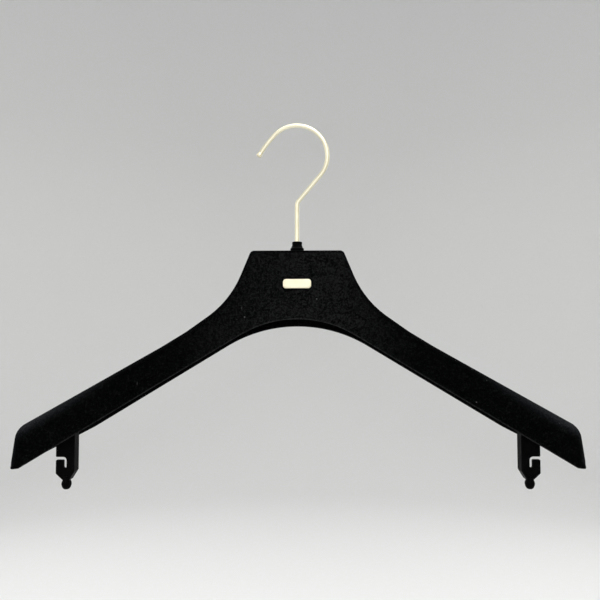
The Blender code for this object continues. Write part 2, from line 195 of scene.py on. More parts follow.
def bake_modifiers(obj):
    """Replace the mesh with what its modifiers make of it, and drop them."""
    depsgraph = bpy.context.evaluated_depsgraph_get()
    data = bpy.data.meshes.new_from_object(obj.evaluated_get(depsgraph))
    obj.modifiers.clear()
    obj.data = data


def bevelled(obj, width, segments, angle):
    """Round every edge sharper than the angle."""
    mod = obj.modifiers.new("edges", "BEVEL")
    mod.width = width
    mod.segments = segments
    mod.limit_method = "ANGLE"
    mod.angle_limit = math.radians(angle)


def ring_strip(bm, rings):
    """Quads between successive closed rings of vertices."""
    for low, high in zip(rings, rings[1:]):
        for i in range(len(low)):
            j = (i + 1) % len(low)
            bm.faces.new((low[i], low[j], high[j], high[i]))


def turned(bm, profile, sides, matrix=Matrix.Identity(4), closed=True):
    """A lathe of a (radius, height) profile about +Z; radius 0 makes a pole."""
    rings = []
    for radius, height in profile:
        if radius < 1e-9:
            rings.append([bm.verts.new(matrix @ Vector((0, 0, height)))] * sides)
            continue
        rings.append([bm.verts.new(matrix @ Vector((radius * math.cos(a), radius * math.sin(a),
                                                    height)))
                      for a in (2 * math.pi * i / sides for i in range(sides))])
    if closed:
        rings.append(rings[0])
    for low, high in zip(rings, rings[1:]):
        for i in range(sides):
            j = (i + 1) % sides
            corners = [low[i], low[j], high[j], high[i]]
            unique = [v for k, v in enumerate(corners) if v not in corners[:k]]
            if len(unique) > 2:
                bm.faces.new(unique)


def fillet_profile(corners, steps=4):
    """A closed (radius, height) profile with each corner rounded by its own radius."""
    count = len(corners)
    result = []
    for index in range(count):
        before, here, after = (corners[(index + k) % count] for k in (-1, 0, 1))
        if here[2] == 0.0:
            result.append((here[0], here[1]))
            continue
        path = rounded_path([(before[0], before[1], 0.0), here, (after[0], after[1], 0.0)],
                            90.0 / steps)
        result += [(p.x, p.y) for p in path[1:-1]]
    return result


# ---- materials ----------------------------------------------------------------------
class Nodes:
    """Short hand for building a node tree."""

    def __init__(self, name):
        self.material = bpy.data.materials.new(name)
        self.material.use_nodes = True
        self.tree = self.material.node_tree
        self.shader = self.tree.nodes["Principled BSDF"]

    def add(self, kind, **inputs):
        node = self.tree.nodes.new("ShaderNode" + kind)
        for key, value in inputs.items():
            target = node.inputs[key.replace("_", " ")]
            if isinstance(value, bpy.types.NodeSocket):
                self.tree.links.new(value, target)
            else:
                target.default_value = value
        return node

    def set(self, **inputs):
        for key, value in inputs.items():
            target = self.shader.inputs[key.replace("_", " ")]
            if isinstance(value, bpy.types.NodeSocket):
                self.tree.links.new(value, target)
            else:
                target.default_value = value

    def place(self):
        """Object coordinates, which stay with the piece."""
        return self.tree.nodes.new("ShaderNodeTexCoord").outputs["Object"]

    def uv(self):
        """UV coordinates: across and along the wire."""
        return self.tree.nodes.new("ShaderNodeTexCoord").outputs["UV"]

    def attribute(self, name):
        node = self.tree.nodes.new("ShaderNodeAttribute")
        node.attribute_name = name
        return node.outputs["Fac"]

    def noise(self, vector, scale, detail=3.0, roughness=0.55, distortion=0.0):
        node = self.add("TexNoise", Vector=vector, Scale=scale, Detail=detail,
                        Roughness=roughness, Distortion=distortion)
        return node.outputs["Fac"]

    def cells(self, vector, scale, far, near):
        """Small spots, 1 at the heart of each cell and 0 past its rim."""
        node = self.add("TexVoronoi", Vector=vector, Scale=scale)
        return self.ramp(node.outputs["Distance"], far, near)

    def stretched(self, vector, scale):
        node = self.add("Mapping", Vector=vector, Scale=scale)
        return node.outputs["Vector"]

    def ramp(self, value, low, high, start=0.0, end=1.0):
        """Map a value range to another, clamped."""
        node = self.add("MapRange", Value=value)
        for key, number in zip(("From Min", "From Max", "To Min", "To Max"),
                               (low, high, start, end)):
            node.inputs[key].default_value = number
        return node.outputs["Result"]

    def math(self, operation, first, second=0.0):
        node = self.tree.nodes.new("ShaderNodeMath")
        node.operation = operation
        for socket, value in zip(node.inputs, (first, second)):
            if isinstance(value, bpy.types.NodeSocket):
                self.tree.links.new(value, socket)
            else:
                socket.default_value = value
        return node.outputs["Value"]

    def mix(self, share, first, second):
        node = self.tree.nodes.new("ShaderNodeMix")
        node.data_type = "RGBA"
        for socket, value in ((node.inputs[0], share), (node.inputs[6], first),
                              (node.inputs[7], second)):
            if isinstance(value, bpy.types.NodeSocket):
                self.tree.links.new(value, socket)
            else:
                socket.default_value = value if isinstance(value, float) else (*value, 1.0)
        return node.outputs[2]

    def bump(self, height, strength, distance):
        node = self.add("Bump", Height=height, Strength=strength, Distance=distance)
        return node.outputs["Normal"]


def flock_material():
    """Black velvet flock: mottled pile, painted shade on the rounding, inner faces and arms,
    painted sheen at the arm ends, and a lip lighter by wear and a painted highlight.
    """
    n = Nodes("black_flock")
    where = n.place()
    grain = n.noise(where, 820.0, 2.0, 0.75)
    tufts = n.noise(where, 430.0, 3.0, 0.65)
    nap = n.noise(n.stretched(where, (1.0, 1.0, 1.5)), 55.0, 4.0, 0.62, 1.0)
    patches = n.noise(where, 13.0, 2.0, 0.5, 0.4)
    rub = n.attribute("rub")
    rounding_mask = n.attribute("rounding_mask")
    across = n.math("ABSOLUTE", n.add("SeparateXYZ", Vector=where).outputs["X"])
    light = n.math("ADD", n.ramp(nap, 0.36, 0.68, 0.0, 0.20), n.ramp(tufts, 0.42, 0.62, 0.0, 0.25))
    light = n.math("ADD", light, n.ramp(grain, 0.44, 0.64, 0.0, 0.75))
    pile = n.mix(light, (0.0, 0.0, 0.0), (0.0118, 0.0122, 0.0128))
    # painted shade: the colour darkens on the ridge's rounding and on the walls' inner faces
    pile = n.mix(n.ramp(rounding_mask, 0.004, 0.10, 0.0, 0.8), pile, (0.0002, 0.0002, 0.0003))
    # painted shade: the colour darkens along the arms, away from the neck
    pile = n.mix(n.ramp(across, 0.030, 0.085, 0.0, 0.84), pile, (0.0002, 0.0003, 0.0003))
    pile = n.mix(n.ramp(patches, 0.38, 0.66, 0.0, 0.4), pile, (0.0004, 0.0005, 0.0006))
    pile = n.mix(n.ramp(grain, 0.56, 0.68, 0.0, 0.5), pile, (0.0080, 0.0086, 0.0084))
    # painted sheen: the rounding at the arm ends is lightened in the colour
    painted_end_sheen = n.math("MULTIPLY", n.ramp(across, 0.125, 0.185), n.ramp(rounding_mask, 0.01, 0.22))
    painted_end_sheen = n.math("MULTIPLY", painted_end_sheen, n.ramp(grain, 0.36, 0.62, 0.3, 1.0))
    pile = n.mix(painted_end_sheen, pile, (0.0150, 0.0165, 0.0180))
    # lighter lower lip: partly rubbed pile, partly a painted highlight along the lip
    worn_and_lit_lip = n.math("MULTIPLY", n.ramp(rub, 0.30, 0.85), n.ramp(grain, 0.34, 0.6, 0.35, 1.0))
    pile = n.mix(worn_and_lit_lip, pile, (0.020, 0.020, 0.021))
    sparse = n.ramp(n.noise(where, 38.0, 0.0), 0.63, 0.66)
    specks = n.cells(where, 120.0, 0.075, 0.045)
    fibres = n.cells(n.stretched(where, (1.0, 1.0, 0.18)), 170.0, 0.06, 0.03)
    lint = n.math("MULTIPLY", n.math("MULTIPLY", n.math("MAXIMUM", specks, fibres), sparse), 0.16)
    n.set(Base_Color=n.mix(lint, pile, (0.30, 0.30, 0.31)),
          Roughness=n.ramp(tufts, 0.3, 0.7, 0.86, 1.0),
          Specular_IOR_Level=0.012, Sheen_Weight=0.014, Sheen_Roughness=0.30,
          Sheen_Tint=(0.90, 0.95, 1.0, 1.0))
    height = n.math("ADD", n.math("MULTIPLY", grain, 0.8),
                    n.math("ADD", tufts, n.math("MULTIPLY", nap, 0.8)))
    n.set(Normal=n.bump(height, 0.7, 0.0005))
    return n.material


def plastic_material():
    """Black moulded plastic with faint flow marks, orange peel and hair scratches."""
    n = Nodes("black_plastic")
    where = n.place()
    flow = n.noise(n.stretched(where, (1.0, 1.0, 0.3)), 140.0, 3.0, 0.6, 1.0)
    peel = n.noise(where, 900.0, 2.0, 0.5)
    hair = n.noise(n.stretched(where, (9.0, 1.0, 0.35)), 320.0, 2.0, 0.7)
    scratches = n.math("MULTIPLY", n.ramp(hair, 0.66, 0.74), n.ramp(flow, 0.5, 0.62))
    tone = n.mix(flow, (0.0006, 0.0006, 0.0007), (0.0020, 0.0019, 0.0019))
    n.set(Base_Color=n.mix(n.math("MULTIPLY", scratches, 0.3), tone, (0.020, 0.020, 0.021)),
          Roughness=n.math("ADD", n.ramp(flow, 0.3, 0.7, 0.40, 0.50),
                           n.math("MULTIPLY", scratches, 0.15)),
          Specular_IOR_Level=0.02,
          Normal=n.bump(n.math("ADD", peel, n.math("MULTIPLY", flow, 0.8)), 0.10, 0.00008))
    return n.material


def plated_material(name, along_wire):
    """Satin champagne plating with fine drawing lines and slightly cloudy lacquer."""
    n = Nodes(name)
    where = n.place()
    grain = n.stretched(n.uv(), (60.0, 1.0, 1.0)) if along_wire else \
        n.stretched(where, (1.0, 1.0, 30.0))
    lines = n.noise(grain, 14.0 if along_wire else 160.0, 3.0, 0.65)
    cloud = n.noise(where, 75.0, 3.0, 0.6, 0.5)
    pits = n.cells(where, 900.0, 0.16, 0.08)
    wear = n.attribute("rub")
    tone = n.mix(n.ramp(cloud, 0.36, 0.68), (0.90, 0.85, 0.66), (0.82, 0.76, 0.57))
    tone = n.mix(n.math("MULTIPLY", n.ramp(wear, 0.3, 1.0), n.ramp(cloud, 0.4, 0.6, 0.2, 0.8)),
                 tone, (0.74, 0.73, 0.69))
    tone = n.mix(n.math("MULTIPLY", pits, 0.35), tone, (0.30, 0.26, 0.17))
    rough = n.math("ADD", n.ramp(lines, 0.3, 0.7, 0.36, 0.46), n.math("MULTIPLY", pits, 0.2))
    n.set(Base_Color=tone, Metallic=1.0, Roughness=rough,
          Specular_Tint=(0.50, 0.46, 0.33, 1.0), Normal=n.bump(lines, 0.12, 0.00006))
    return n.material


def steel_material():
    """Zinc-plated fasteners: mottled, with turning marks."""
    n = Nodes("zinc_steel")
    where = n.place()
    mottle = n.noise(where, 700.0, 4.0, 0.6)
    marks = n.noise(n.stretched(where, (1.0, 1.0, 9.0)), 900.0, 2.0, 0.5)
    n.set(Base_Color=n.mix(mottle, (0.42, 0.42, 0.44), (0.66, 0.66, 0.68)), Metallic=1.0,
          Roughness=n.ramp(mottle, 0.3, 0.7, 0.28, 0.46), Normal=n.bump(marks, 0.2, 0.00008))
    return n.material


def stage_material():
    """Pale studio paper with a faint tooth."""
    n = Nodes("studio_paper")
    fibre = n.noise(n.place(), 60.0, 4.0, 0.6)
    n.set(Base_Color=n.mix(fibre, (0.72, 0.72, 0.71), (0.75, 0.75, 0.74)), Roughness=0.95,
          Specular_IOR_Level=0.1)
    return n.material


# ---- body shells --------------------------------------------------------------------
def face_depth(x, side):
    """Y of the front (side -1) or rear (side +1) face of the body at x."""
    grow = max(0.0, (abs(x) - FLARE_START_X) / (TIP[0] - FLARE_START_X)) ** FLARE_POWER
    return side * (NECK_HALF_DEPTH + (FLARE_FRONT if side < 0 else FLARE_REAR) * grow)


def ridge_depth(x):
    """Y of the seam between the two half shells at x."""
    return (face_depth(x, -1) + face_depth(x, 1)) / 2


def ridge_path():
    """Top outline of the body along the seam, from the middle to the tip."""
    corners = [(0.0, TOP_Z, 0.0), (NECK_HALF_WIDTH, TOP_Z, 3.5 * MM),
               (*ELBOW, 70.0 * MM), (*ARM_BEND, 300.0 * MM), (*SHOULDER, 9.0 * MM),
               (*TIP, 0.0)]
    return subdivided(rounded_path(corners, 4.0), 3.0 * MM)


def edge_path(side):
    """Lower edge of a shell, from the middle to the tip."""
    (arch_z, radius), rest = ((FRONT_ARCH, [(*FRONT_TIP, 0.0)]) if side < 0 else
                              (REAR_ARCH, [(*REAR_KNEE, 60.0 * MM), (*REAR_TIP, 0.0)]))
    start = radius * math.tan(UNDERSIDE_ANGLE / 2)
    return rounded_path([(0.0, arch_z, 0.0), (start, arch_z, radius * 0.999), *rest], 1.0)


def superellipse(radius, steps):
    """Quarter profile from the ridge to the face as (distance down, share of half depth)."""
    power = 2.0 / SECTION_POWER
    angles = [math.pi / 2 * index / steps for index in range(steps + 1)]
    return [(radius * (1 - max(math.cos(a), 0.0) ** power), math.sin(a) ** power)
            for a in angles]


def shell_sections(side):
    """Fine sections of a half shell's outer face, ridge to lower edge, middle to tip."""
    ridge, edge = ridge_path(), edge_path(side)
    along = lengths(ridge)
    ridge_keys = [0.0, NECK_HALF_WIDTH, NECK_HALF_WIDTH + 43.0 * MM, along[-1] - 27.0 * MM,
                  along[-1]]
    edge_x = [0.0, 20.0 * MM, 42.0 * MM, edge[-1].x - 9.0 * MM, edge[-1].x]
    rounding = [4.5 * MM, 4.5 * MM, 6.0 * MM, 12.0 * MM, 8.0 * MM]
    edge_xs, edge_zs = [p.x for p in edge], [p.y for p in edge]
    sections = []
    for point, length in zip(ridge, along):
        x = flowing(length, ridge_keys, edge_x)
        foot = Vector((x, between(x, edge_xs, edge_zs)))
        reach = (foot - point).length
        down = (foot - point) / reach
        radius = min(flowing(length, ridge_keys, rounding), 0.96 * reach)
        profile = superellipse(radius, 12)
        lip = min(1.2 * MM, (reach - radius) * 0.12)
        steps = 6
        profile += [(radius + (reach - lip - radius) * step / steps, 1.0)
                    for step in range(1, steps + 1)]
        profile.append((reach, 1.0))
        section = []
        for distance, outward in profile:
            flat = point + down * distance
            middle = ridge_depth(flat.x) + side * SEAM
            y = middle + (face_depth(flat.x, side) - middle) * outward
            section.append(Vector((flat.x, y, flat.y)))
        sections.append(section)
    return sections


def tip_rounding(spot):
    """Draw a point near the arm end's lower corner in, so that the corner is rounded."""
    corner = Vector(TIP)
    up = (Vector(SHOULDER) - corner).normalized()
    inward = (Vector(FRONT_TIP) - corner).normalized()
    half = up.angle(inward) / 2
    outward = -(up + inward).normalized()
    centre = corner - outward * TIP_R / math.sin(half)
    offset = Vector((spot.x, spot.z)) - centre
    still = TIP_R / 2
    if offset.length < still or offset.angle(outward) > math.pi / 2 - half:
        return spot
    reach = TIP_R / math.cos(math.pi / 2 - half - offset.angle(outward))
    length = still + (offset.length - still) * (TIP_R - still) / (reach - still)
    moved = centre + offset.normalized() * length
    return Vector((moved.x, spot.y, moved.y))


def shell_wall(name, side, mat):
    """Both arms of a half shell as one closed wall with rounded lips."""
    bm = bmesh.new()
    rows = [[bm.verts.new(tip_rounding(spot)) for spot in section]
            for section in shell_sections(side)]
    for row, following in zip(rows, rows[1:]):
        for a, b, c, d in zip(row, row[1:], following[1:], following):
            bm.faces.new((a, b, c, d) if side < 0 else (d, c, b, a))
    obj = new_object(name, bm, mat=mat)
    mirror = obj.modifiers.new("other_arm", "MIRROR")
    mirror.merge_threshold = 1e-5
    wall = obj.modifiers.new("wall", "SOLIDIFY")
    wall.thickness = WALL
    wall.offset = -1.0
    wall.use_even_offset = True
    wall.use_quality_normals = True
    bake_modifiers(obj)

    bm = bmesh.new()
    bm.from_mesh(obj.data)
    weight = bm.edges.layers.float.new("bevel_weight_edge")
    for edge in bm.edges:
        on_ridge = all(abs(v.co.y - ridge_depth(v.co.x)) < 0.4 * MM for v in edge.verts)
        if not on_ridge and edge.calc_face_angle(0.0) > math.radians(50.0):
            edge[weight] = 1.0
    bm.to_mesh(obj.data)
    bm.free()
    lip = obj.modifiers.new("lip", "BEVEL")
    lip.width = LIP_R
    lip.segments = 4
    lip.limit_method = "WEIGHT"
    bake_modifiers(obj)
    return obj


def rod_y(bm, x, z, profile, sides=32):
    """A closed turned bar along Y from its (radius, y) stations."""
    rings = []
    for radius, y in profile:
        rings.append([bm.verts.new((x + radius * math.cos(a), y, z + radius * math.sin(a)))
                      for a in (2 * math.pi * (i + 0.5) / sides for i in range(sides))])
    bm.faces.new(rings[0])
    bm.faces.new(rings[-1])
    ring_strip(bm, rings)
    bmesh.ops.recalc_face_normals(bm, faces=bm.faces)


def mark_pile(obj, side):
    """Store nearness to the lower lip (rubbed pile and a painted highlight) and to the ridge's
    rounding and inner faces (painted shade and sheen).
    """
    path = [Vector((p.x, p.y, 0.0)) for p in subdivided(edge_path(side), 0.8 * MM)]
    tree = KDTree(len(path))
    for index, spot in enumerate(path):
        tree.insert(spot, index)
    tree.balance()
    rub = obj.data.attributes.new("rub", "FLOAT", "POINT")
    rounding_mask = obj.data.attributes.new("rounding_mask", "FLOAT", "POINT")
    for vert in obj.data.vertices:
        distance = tree.find(Vector((abs(vert.co.x), vert.co.z, 0.0)))[2]
        rub.data[vert.index].value = max(0.0, 1.0 - distance / (1.6 * MM))
        middle = ridge_depth(vert.co.x)
        outward = (vert.co.y - middle) / (face_depth(vert.co.x, side) - middle)
        rounding_mask.data[vert.index].value = min(max(1.0 - outward, 0.0), 1.0)


def tool_object(name, bm):
    tool = new_object(name, bm)
    tool.hide_render = True
    return tool


def combine(obj, tool, operation):
    mod = obj.modifiers.new(tool.name, "BOOLEAN")
    mod.operation = operation
    mod.object = tool
    bake_modifiers(obj)
    bpy.data.objects.remove(tool)


def shell(name, node, side, mat):
    """A flocked half shell with its bosses, pegs or sockets, and holes."""
    obj = shell_wall(name, side, mat)
    sink = WALL / 2
    solids, holes = bmesh.new(), bmesh.new()
    seat_y = sorted((side * 0.7 * GAP, side * (NECK_HALF_DEPTH - sink)))
    seat = bmesh.ops.create_cube(solids, size=1.0)["verts"]
    seat_top, seat_foot = TOP_Z - sink, TOP_Z - SEAT_SIZE[1]
    bmesh.ops.scale(solids, verts=seat, vec=(SEAT_SIZE[0], seat_y[1] - seat_y[0],
                                             seat_top - seat_foot))
    bmesh.ops.translate(solids, verts=seat, vec=(0, sum(seat_y) / 2,
                                                 (seat_top + seat_foot) / 2))
    for hand in (-1, 1):
        for x, z in PEGS:
            wall_y = face_depth(x, side) - side * sink
            boss = [(BOSS_R, wall_y), (BOSS_R, side * (GAP + 0.3 * MM)),
                    (BOSS_R - 0.4 * MM, side * GAP / 2)]
            if side > 0:
                boss += [(PEG_R, side * GAP / 2), (PEG_R, PEG_END_Y + 0.5 * MM),
                         (PEG_R - 0.5 * MM, PEG_END_Y)]
            else:
                rod_y(holes, hand * x, z, [(PEG_R + GAP, PEG_END_Y - GAP),
                                           (PEG_R + GAP, 2.0 * MM)])
            rod_y(solids, hand * x, z, boss)
        stop, wall_y = LOOP_STOPS[side], face_depth(PIVOT.x, side) - side * sink
        rod_y(solids, hand * PIVOT.x, PIVOT.z,
              [(4.2 * MM, wall_y), (4.2 * MM, stop + side * 0.4 * MM), (3.8 * MM, stop)], 48)
        rod_y(holes, hand * PIVOT.x, PIVOT.z, [(PIN_R + 0.1 * MM, -18.3 * MM),
                                               (PIN_R + 0.1 * MM, 4.3 * MM)])
    bmesh.ops.create_cone(holes, cap_ends=True, segments=48, radius1=3.7 * MM,
                          radius2=3.7 * MM, depth=13.0 * MM,
                          matrix=Matrix.Translation((0, 0, TOP_Z - 4.0 * MM)))
    if side < 0:
        for x in (-STUD_X, STUD_X):
            rod_y(holes, x, BADGE_Z, [(STUD_R + GAP, -9.0 * MM), (STUD_R + GAP, -3.0 * MM)], 20)
    combine(obj, tool_object(name + "_solids", solids), "UNION")
    combine(obj, tool_object(name + "_holes", holes), "DIFFERENCE")
    mark_pile(obj, side)
    shade(obj, 40.0)
    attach(obj, "hanger")
    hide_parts(node)


# ---- hook ---------------------------------------------------------------------------
def hook_path():
    """Centreline of the wire from the stem's lower end to the open tip, as (x, z)."""
    centre = Vector((0.0, WIRE_R - HOOK_R))
    leave, open_from = math.radians(-40.0), math.radians(136.0)
    open_r, open_sweep, bend_r = 80.0 * MM, math.radians(12.0), 6.0 * MM

    def on_round(angle):
        return Vector((math.cos(angle), math.sin(angle))) * HOOK_R + centre

    out = on_round(leave)
    slant = Vector((math.sin(leave), -math.cos(leave)))
    foot = out + slant * (out.x / -slant.x)
    path = rounded_path([(0.0, STEM_END_Z, 0.0), (foot.x, foot.y, bend_r),
                         (out.x, out.y, 0.0)], 2.5)
    steps = 90
    path += [on_round(leave + (open_from - leave) * i / steps) for i in range(1, steps + 1)]
    wide = centre + Vector((math.cos(open_from), math.sin(open_from))) * (HOOK_R - open_r)
    steps = 12
    path += [wide + Vector((math.cos(a), math.sin(a))) * open_r
             for a in (open_from + open_sweep * i / steps for i in range(1, steps + 1))]
    return path


def hook_piece(mat):
    """Wire hook: rolled thread at the hidden foot, smooth round, upset bead at the tip."""
    path = subdivided(hook_path(), 0.9 * MM)
    thread_length, pitch, depth = 6.5 * MM, 0.7 * MM, 0.12 * MM
    fine = subdivided([path[0], path[0] + Vector((0, thread_length))],
                      pitch / 8)
    path = fine + [point for point, length in zip(path, lengths(path))
                   if length > thread_length + 0.1 * MM]
    ahead = (path[-1] - path[-2]).normalized()
    bead = [(0.5, 1.05), (1.0, 1.16), (1.5, 1.26), (2.0, 1.31), (2.4, 1.30), (2.8, 1.2),
            (3.1, 1.0), (3.3, 0.72), (3.4, 0.4)]
    stations = [(p, 1.0) for p in path] + [(path[-1] + ahead * step * MM, factor)
                                           for step, factor in bead]
    points = [p for p, _ in stations]
    along = lengths(points)
    sides = 28
    bm = bmesh.new()
    uv = bm.loops.layers.uv.new("UVMap")
    rub = bm.verts.layers.float.new("rub")
    rings = []
    for index, (point, factor) in enumerate(stations):
        before = points[max(index - 1, 0)]
        after = points[min(index + 1, len(points) - 1)]
        tangent = (after - before).normalized()
        side = Vector((-tangent.y, tangent.x))
        ring = []
        for k in range(sides):
            angle = 2 * math.pi * k / sides
            radius = WIRE_R * factor
            if along[index] < thread_length:
                fade = min(1.0, (thread_length - along[index]) / pitch)
                phase = along[index] / pitch - k / sides
                radius -= depth * fade * (0.5 - 0.5 * math.cos(2 * math.pi * phase))
            flat = side * radius * math.cos(angle)
            vert = bm.verts.new((point.x + flat.x, radius * math.sin(angle), point.y + flat.y))
            inside = max(0.0, math.cos(angle)) if point.y > -14.0 * MM else 0.0
            vert[rub] = inside * between(point.y, [-14.0 * MM, 2.0 * MM], [0.0, 1.0])
            ring.append(vert)
        rings.append(ring)
    for level, (low, high) in enumerate(zip(rings, rings[1:])):
        for k in range(sides):
            j = (k + 1) % sides
            face = bm.faces.new((low[k], low[j], high[j], high[k]))
            marks = ((k, level), (k + 1, level), (k + 1, level + 1), (k, level + 1))
            for loop, (around, step) in zip(face.loops, marks):
                loop[uv].uv = (around / sides, along[step] * 12.0)
    bm.faces.new(rings[0][::-1])
    bm.faces.new(rings[-1])
    bmesh.ops.recalc_face_normals(bm, faces=bm.faces)
    shade(new_object("hook_wire", bm, "hook", mat, ["hook"]), 50.0)


def hook_fittings(dark, steel):
    """Collar on the neck, washer and nut on the hook."""
    top, base = COLLAR_HIGH.z, TOP_Z + 0.12 * MM
    foot = COLLAR_LOW.z
    profile = fillet_profile([
        (3.6 * MM, top, 0.5 * MM), (3.7 * MM, top - 1.9 * MM, 0.0),
        (3.45 * MM, top - 2.1 * MM, 0.0), (3.45 * MM, top - 2.5 * MM, 0.0),
        (3.75 * MM, top - 2.7 * MM, 0.0), (4.0 * MM, top - 4.0 * MM, 0.8 * MM),
        (4.9 * MM, top - 4.9 * MM, 0.35 * MM), (4.9 * MM, base, 0.25 * MM),
        (3.4 * MM, base, 0.0), (3.4 * MM, foot, 0.3 * MM), (BORE_R, foot, 0.2 * MM),
        (BORE_R, top - 0.5 * MM, 0.0), (BORE_R + 0.5 * MM, top, 0.2 * MM)])
    bm = bmesh.new()
    turned(bm, profile, 64)
    bmesh.ops.recalc_face_normals(bm, faces=bm.faces)
    shade(new_object("collar_bushing", bm, "hanger", dark, ["hook_collar"]))

    low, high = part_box("hook_washer")
    profile = fillet_profile([(high.x, high.z, 0.25 * MM), (high.x, low.z, 0.25 * MM),
                              (BORE_R, low.z, 0.1 * MM), (BORE_R, high.z, 0.1 * MM)])
    bm = bmesh.new()
    turned(bm, profile, 48)
    bmesh.ops.recalc_face_normals(bm, faces=bm.faces)
    shade(new_object("seat_washer", bm, "hook", steel, ["hook_washer"]))
    lock_nut(steel)


def lock_nut(steel):
    """A hexagon nut with chamfered corners, met by two cones, and a countersunk bore."""
    low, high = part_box("hook_nut")
    corner_r = high.x
    flat_r = corner_r * math.cos(math.pi / 6)
    sides = 72
    bm = bmesh.new()

    def hex_radius(angle):
        folded = (angle + math.pi / 6) % (math.pi / 3) - math.pi / 6
        return flat_r / math.cos(folded)

    def ring(height, limit):
        result = []
        for k in range(sides):
            angle = 2 * math.pi * k / sides
            radius = min(hex_radius(angle + math.pi / 6), limit)
            result.append(bm.verts.new((radius * math.cos(angle), radius * math.sin(angle),
                                        height)))
        return result

    chamfer = 0.35 * MM
    steps = [(low.z, flat_r - 0.1 * MM), (low.z + chamfer * 0.5, flat_r + 0.12 * MM),
             (low.z + chamfer, corner_r), (high.z - chamfer, corner_r),
             (high.z - chamfer * 0.5, flat_r + 0.12 * MM), (high.z, flat_r - 0.1 * MM),
             (high.z, BORE_R + 0.3 * MM), (high.z - 0.3 * MM, BORE_R),
             (low.z + 0.3 * MM, BORE_R), (low.z, BORE_R + 0.3 * MM)]
    rings = [ring(height, limit) for height, limit in steps]
    rings.append(rings[0])
    ring_strip(bm, rings)
    bmesh.ops.recalc_face_normals(bm, faces=bm.faces)
    shade(new_object("lock_nut", bm, "hook", steel, ["hook_nut"]), 25.0)


# ---- badge --------------------------------------------------------------------------
def outline_prism(bm, points, y_from, y_to):
    """A closed plate of an (x, z) outline between two y values, capped with n-gons."""
    near = [bm.verts.new((x, y_from, z)) for x, z in points]
    far = [bm.verts.new((x, y_to, z)) for x, z in points]
    ring_strip(bm, [near, far])
    bm.faces.new(near[::-1])
    bm.faces.new(far)


def badge_piece(gold):
    """Blank rounded plate with a pillowed, bevelled face, on two studs."""
    half_w, half_h = (BADGE_HIGH.x - BADGE_LOW.x) / 2, (BADGE_HIGH.z - BADGE_LOW.z) / 2
    back, front = -NECK_HALF_DEPTH - 0.05 * MM, BADGE_LOW.y

    def outline(inset):
        w, h = half_w - inset, half_h - inset
        r = max(2.2 * MM - inset, 0.4 * MM)
        loop = rounded_path([(0.0, h, 0.0), (w, h, r), (w, -h, r), (-w, -h, r), (-w, h, r),
                             (0.0, h, 0.0)], 7.5)
        return [(p.x, p.y + BADGE_Z) for p in loop[:-1]]

    bm = bmesh.new()
    levels = [(0.25, back), (0.0, back - 0.2 * MM), (0.0, front + 0.42 * MM),
              (0.10, front + 0.2 * MM), (0.32, front + 0.06 * MM), (0.62, front + 0.03 * MM),
              (0.80, front), (1.6, front), (2.6, front)]
    rings = [[bm.verts.new((x, y, z)) for x, z in outline(inset * MM)] for inset, y in levels]
    ring_strip(bm, rings)
    bm.faces.new(rings[0])
    bm.faces.new(rings[-1])
    bmesh.ops.recalc_face_normals(bm, faces=bm.faces)
    obj = new_object("blank_badge", bm, mat=gold)
    studs = bmesh.new()
    for x in (-STUD_X, STUD_X):
        rod_y(studs, x, BADGE_Z, [(STUD_R, back - 0.3 * MM), (STUD_R, BADGE_HIGH.y - 0.3 * MM),
                                  (STUD_R - 0.3 * MM, BADGE_HIGH.y)], 20)
    combine(obj, tool_object("badge_studs", studs), "UNION")
    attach(obj, "hanger")
    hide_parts("badge")
    shade(obj)


def push_nuts(steel):
    """Spring-steel push nuts: a dished ring with four bent teeth."""
    for node in ("badge_push_nut_left", "badge_push_nut_right"):
        low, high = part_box(node)
        middle = (low + high) / 2
        bm = bmesh.new()
        turn = Matrix.Translation(middle) @ Matrix.Rotation(math.pi / 2, 4, "X")
        outer_r, thick = (high.x - low.x) / 2, 0.25 * MM
        sides = 48
        rings = []
        levels = [(outer_r, -0.10), (outer_r, 0.15), (1.9 * MM, 0.30), (1.0 * MM, 0.05),
                  (0.9 * MM, -0.20), (1.7 * MM, 0.02)]
        for index, (radius, height) in enumerate(levels):
            ring = []
            for k in range(sides):
                angle = 2 * math.pi * k / sides
                slot_here = index in (3, 4) and k % 12 < 3
                r = 1.55 * MM if slot_here else radius
                h = 0.12 if slot_here and index == 3 else (-0.05 if slot_here else height)
                ring.append(bm.verts.new(turn @ Vector((r * math.cos(angle),
                                                        r * math.sin(angle), h * MM))))
            rings.append(ring)
        rings.append(rings[0])
        ring_strip(bm, rings)
        bmesh.ops.recalc_face_normals(bm, faces=bm.faces)
        shade(new_object(node.replace("badge_", "") + "_steel", bm, "hanger", steel,
                         [node]))


# ---- loop hooks ---------------------------------------------------------------------
def loop_outline():
    """Plate outline of a loop hook about its pivot: (outward, up), outer edge first."""
    outer, inner, top_r = 6.5, -7.2, 6.85
    corners = [(outer, -8.0, 0.0), (outer, -23.2, 0.8), (-0.9, -23.2, 2.4),
               (-0.9, -30.8, 0.95), (1.1, -30.8, 0.95), (1.1, -25.3, 0.8),
               (outer, -25.3, 0.8), (outer, -34.7, 1.5), (1.8, LOOP_NECK_Z, 0.0),
               (-3.4, LOOP_NECK_Z, 0.0), (inner, LOOP_WAIST_Z, 2.0), (inner, top_r, top_r * 0.98),
               (outer, top_r, top_r * 0.98), (outer, -8.0, 0.0)]
    path = rounded_path([(x * MM, z * MM, r * MM) for x, z, r in corners], 7.5)
    return [(p.x, p.y) for p in path[:-1]]


